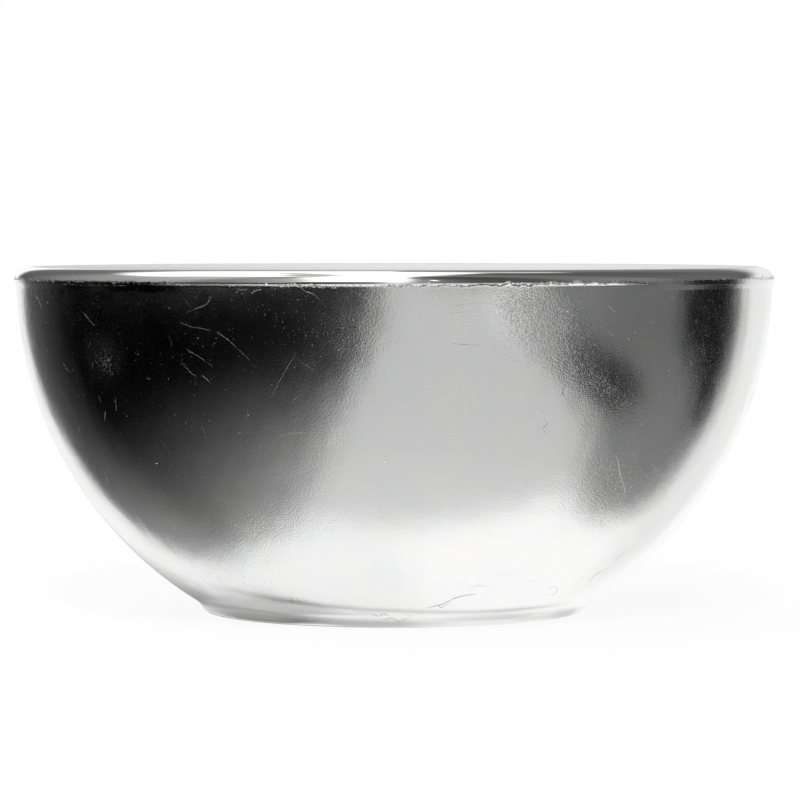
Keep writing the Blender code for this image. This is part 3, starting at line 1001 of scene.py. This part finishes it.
GREY_CARD = {
    "by_height": ((-45, 126), (-30, 118), (-20, 110), (-8, 102), (0, 105)),
    "by_bearing": ((40, 26), (56, 20), (66, 6), (76, 0), (180, 0)),
    "lower": ((42, -2), (44, -11), (48, -18), (56, -25), (64, -30), (72, -34.5), (80, -40), (88, -46.5),
              (96, -50), (104, -49.5), (112, -47.5), (120, -44), (128, -38), (134, -31)),
    "upper": steady(10),
    "left": steady(43),
    "right": steady(130),
    "soft": (3, 3.5),
}
DARK_PATCH = {
    "by_height": steady(4),
    "lower": ((49, -14), (54.5, -21.5), (62, -26), (69, -28.5), (78, -30.5), (87, -30), (92, -23)),
    "upper": ((49, -19), (54.5, -16.5), (62, -17), (69, -18.5), (78, -20.5), (87, -24), (92, -31)),
    "soft": (2, 1),
}
DARK_SLOT = {
    "by_height": steady(12),
    "lower": ((96, -10), (98, -12), (104, -14), (112, -18.5), (120, -22.5), (128, -23), (134, -18)),
    "upper": steady(10),
    "left": steady(98),
    "right": steady(127),
    "soft": (2, 3),
}
PALE_SIDE = {
    "by_height": steady(230),
    "lower": ((126, -38), (166, -34)),
    "upper": steady(12),
    "left": steady(124),
    "right": steady(158),
    "soft": (6, 6),
}
GREY_BACK = {
    "by_height": ((-60, 205), (-52, 172), (-46, 166), (-36, 160), (-24, 138), (-12, 146)),
    "lower": ((-180, -58), (-146, -56)),
    "upper": steady(-6),
    "left": steady(-177),
    "right": ((-60, -160), (-55, -154), (-50, -151), (-43, -154), (-35, -158), (-23, -163), (-15, -168),
              (-8, -173)),
    "soft": (4, 4),
}
# From the furthest card to the nearest, which hides what stands behind it
CARDS = (
    LIGHT_ROOF, GREY_STREAK, FRONT_PAPER, PALE_SIDE, GREY_BACK, BLACK_CLOTH, PALE_SPOT, GREY_LEFT, GREY_CARD,
    DARK_PATCH, DARK_SLOT, DARK_RIGHT, PALE_RIGHT, GLOW, DARK_SPOT, CREST_LEFT, CREST_RIGHT, GLINT, SPARK,
)
LEAF_REFLECTANCE = 0.88
GREY_POWER = 2.2  # from a grey to the brightness behind it

# Rings of the table that the leaf round the foot mirrors: middle, radius, half width by bearing, how much
# they cover by bearing, and how bright they are. Each glows at a set brightness and only mirrors see it, so
# both are painted reflections: first the table close by, in painted shade under the dish, then the painted
# line where the dish's shadow starts, which lies a little lower.
TABLE_RINGS = (
    ("pale_table", (0, 0), 36.6, ((0, 1.4), (10, 1.4)),
     ((-88, 0), (-80, 0.45), (-72, 0.75), (-60, 0.85), (-38, 0.9), (-32, 0.7), (-26, 0.3), (-19, 0)), 0.58),
    ("contact_shadow", (-3.15, 4.93), 42.1, ((-30, 0.66), (-15, 0.6), (0, 0.5), (20, 0.38), (37, 0.35)),
     ((-30, 0), (-15, 0.08), (0, 0.12), (20, 0.2), (35, 0.3), (48, 0.25), (64, 0)), 0.1),
)
RING_STEPS, RING_LANES = 180, 9
RING_DROP = 0.02

TABLE_REACH = 9000.0
TABLE_LEVEL = -0.05
TABLE_GLOW = 1.028  # as bright to the camera as the backdrop
SHADOW_SHARE = 0.1  # how much of the light and shade on the table the camera sees

LAMP_STRENGTH = 1.3
LAMP_TILT, LAMP_WIDTH = 45, 20  # degrees
CAMERA_PLACE = (1.06, -735.0, 71.0)
CAMERA_DIP = 2.499  # degrees
CAMERA_LENS, CAMERA_SENSOR = 178.4, 36.0


def turn_share(degrees):
    """A bearing from -180 to 180 as 0 to 1."""
    return (degrees + 180) / 360


def rise_share(degrees):
    """A height from -90 to 90 degrees as 0 to 1."""
    return (degrees + 90) / 180


def curve(tree, value, places):
    """A smooth line through (x, y) places, both from 0 to 1."""
    made = add_node(tree, "ShaderNodeFloatCurve", {"Value": value})
    line = made.mapping.curves[0]
    line.points[0].location = places[0]
    line.points[1].location = places[-1]
    for place in places[1:-1]:
        line.points.new(*place)
    for point in line.points:
        point.handle_type = "AUTO_CLAMPED"
    made.mapping.extend = "HORIZONTAL"
    made.mapping.use_clip = False
    made.mapping.update()
    return made.outputs["Value"]


def past(tree, value, edge, soft, rising=True):
    """0 to 1 as the value passes the edge, or 1 to 0, over twice the softness."""
    wanted = (0, 1) if rising else (1, 0)
    return ranged(tree, calculate(tree, "SUBTRACT", value, edge), (-soft, soft), wanted, "SMOOTHSTEP")


def add_card(tree, behind, card, turn, rise):
    """The grey of what stands behind, with one card in front of it."""
    greys = [(rise_share(height), grey / 255) for height, grey in card["by_height"]]
    shade = curve(tree, rise, greys)
    if "by_bearing" in card:
        more = [(turn_share(bearing), grey / 255) for bearing, grey in card["by_bearing"]]
        shade = calculate(tree, "ADD", shade, curve(tree, turn, more))
    level_soft, upright_soft = card["soft"][0] / 180, card["soft"][1] / 360
    cover = 1.0
    for side, rising in (("lower", True), ("upper", False)):
        line = [(turn_share(bearing), rise_share(height)) for bearing, height in card[side]]
        part = past(tree, rise, curve(tree, turn, line), level_soft, rising)
        cover = calculate(tree, "MULTIPLY", cover, part)
    for side, rising in (("left", True), ("right", False)):
        if side in card:
            line = [(rise_share(height), turn_share(bearing)) for height, bearing in card[side]]
            part = past(tree, turn, curve(tree, rise, line), upright_soft, rising)
            cover = calculate(tree, "MULTIPLY", cover, part)
    return add_node(tree, "ShaderNodeMix", {0: cover, 2: behind, 3: shade}, data_type="FLOAT").outputs[0]


def studio_world():
    """The tent and its cards as the dish mirrors them; the camera itself sees plain white."""
    world = bpy.data.worlds.new("studio")
    bpy.context.scene.world = world
    world.use_nodes = True
    tree = world.node_tree
    tree.nodes.clear()
    way = add_node(tree, "ShaderNodeTexCoord").outputs["Generated"]
    parts = add_node(tree, "ShaderNodeSeparateXYZ", {"Vector": way}).outputs
    toward = calculate(tree, "MULTIPLY", parts["Y"], -1.0)
    turn = calculate(tree, "MULTIPLY_ADD", calculate(tree, "ARCTAN2", parts["X"], toward), 0.5 / np.pi, 0.5)
    rise = calculate(tree, "MULTIPLY_ADD", calculate(tree, "ARCSINE", parts["Z"]), 1 / np.pi, 0.5)
    shade = curve(tree, turn, [(turn_share(bearing), grey / 255) for bearing, grey in TENT_GREYS])
    for card in CARDS:
        shade = add_card(tree, shade, card, turn, rise)
    bright = calculate(tree, "DIVIDE", calculate(tree, "POWER", shade, GREY_POWER), LEAF_REFLECTANCE)
    studio = add_node(tree, "ShaderNodeBackground", {"Strength": bright, "Color": linear("#FFFFFF")})
    plain = add_node(tree, "ShaderNodeBackground", {"Strength": 1.0, "Color": linear("#FFFFFF")})
    seen = add_node(tree, "ShaderNodeLightPath").outputs["Is Camera Ray"]
    both = add_node(tree, "ShaderNodeMixShader", {0: seen, 1: studio.outputs[0], 2: plain.outputs[0]})
    add_node(tree, "ShaderNodeOutputWorld", {"Surface": both.outputs[0]})


def bare_finish(name):
    """A material and its tree of nodes, with nothing in it yet."""
    made = bpy.data.materials.new(name)
    made.use_nodes = True
    made.node_tree.nodes.clear()
    return made, made.node_tree


def table_top():
    """A plain white table: the camera sees it as white as the backdrop, with the dish's faint shadow."""
    paper, tree = bare_finish("white_table")
    lit = add_node(tree, "ShaderNodeBsdfDiffuse", {"Color": linear("#F4F4F4")}).outputs[0]
    glow = add_node(tree, "ShaderNodeEmission", {"Strength": TABLE_GLOW}).outputs[0]
    shown = add_node(tree, "ShaderNodeMixShader", {0: SHADOW_SHARE, 1: glow, 2: lit}).outputs[0]
    seen = add_node(tree, "ShaderNodeLightPath").outputs["Is Camera Ray"]
    both = add_node(tree, "ShaderNodeMixShader", {0: seen, 1: lit, 2: shown})
    add_node(tree, "ShaderNodeOutputMaterial", {"Surface": both.outputs[0]})
    ways = ((-1, -1), (1, -1), (1, 1), (-1, 1))
    corners = [(TABLE_REACH * east, TABLE_REACH * north, TABLE_LEVEL) for east, north in ways]
    made = mesh_object("table_top", corners, [(0, 1, 2, 3)], paper)
    made.visible_glossy = False


def table_rings():
    """The table close round the foot as the leaf mirrors it, in painted shade and a painted shadow line; only
    that mirror shows these glowing rings.
    """
    steps = np.linspace(-180, 180, RING_STEPS, endpoint=False)
    bearing, lane = np.meshgrid(steps, np.linspace(-1, 1, RING_LANES))
    east, north = direction(bearing)
    faces = ring_faces(RING_LANES, RING_STEPS)
    for number, (name, middle, radius, half_width, cover, strength) in enumerate(TABLE_RINGS):
        finish, tree = bare_finish(name)
        # Each ring glows at its set brightness: a painted reflection of the shaded table or of the shadow
        # line
        tone = add_node(tree, "ShaderNodeEmission", {"Strength": strength}).outputs[0]
        clear = add_node(tree, "ShaderNodeBsdfTransparent").outputs[0]
        both = add_node(tree, "ShaderNodeMixShader", {0: stored(tree, "cover"), 1: clear, 2: tone})
        add_node(tree, "ShaderNodeOutputMaterial", {"Surface": both.outputs[0]})
        reach = radius + lane * np.interp(bearing, *zip(*half_width))
        level = np.full(reach.shape, -RING_DROP * number)
        points = np.stack((middle[0] + reach * east, middle[1] + reach * north, level), axis=-1)
        made = mesh_object(name, points.reshape(-1, 3), faces, finish)
        add_value(made, "cover", ((1 - lane**4) * np.interp(bearing, *zip(*cover))).ravel())
        for sight in ("camera", "diffuse", "transmission", "shadow"):
            setattr(made, f"visible_{sight}", False)


def key_light():
    """A soft lamp above and in front. Only matt and clear surfaces show it; mirrors keep the tent's tones."""
    lamp = bpy.data.lights.new("key_light", "SUN")
    lamp.energy = LAMP_STRENGTH
    lamp.angle = np.radians(LAMP_WIDTH)
    made = link(bpy.data.objects.new("key_light", lamp))
    made.rotation_euler = (np.radians(LAMP_TILT), 0.0, 0.0)
    made.visible_glossy = False


def camera():
    """Level with the lip and a little above it, far enough away to flatten the dish."""
    lens = bpy.data.cameras.new("camera")
    lens.lens = CAMERA_LENS
    lens.sensor_width = CAMERA_SENSOR
    made = link(bpy.data.objects.new("camera", lens))
    made.location = [part * MM for part in CAMERA_PLACE]
    made.rotation_euler = (np.radians(90 - CAMERA_DIP), 0.0, 0.0)
    bpy.context.scene.camera = made


def main():
    bpy.context.scene.view_settings.view_transform = "Standard"
    camera()
    studio_world()
    table_top()
    table_rings()
    key_light()

    dish = glass_dish()
    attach(dish, "root")
    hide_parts("glass_bowl")

    for index in range(SHEETS):
        sheet = add_sheet(index)
        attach(sheet, "root")
        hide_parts(f"wall_leaf_{index + 1}")

    for made in (edge_flecks(), face_specks(), scratches()):
        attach(made, "root")
        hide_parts(*(f"wall_leaf_{index + 1}" for index in range(SHEETS)))

    under = base_sheet()
    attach(under, "root")
    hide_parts("base_leaf")


main()
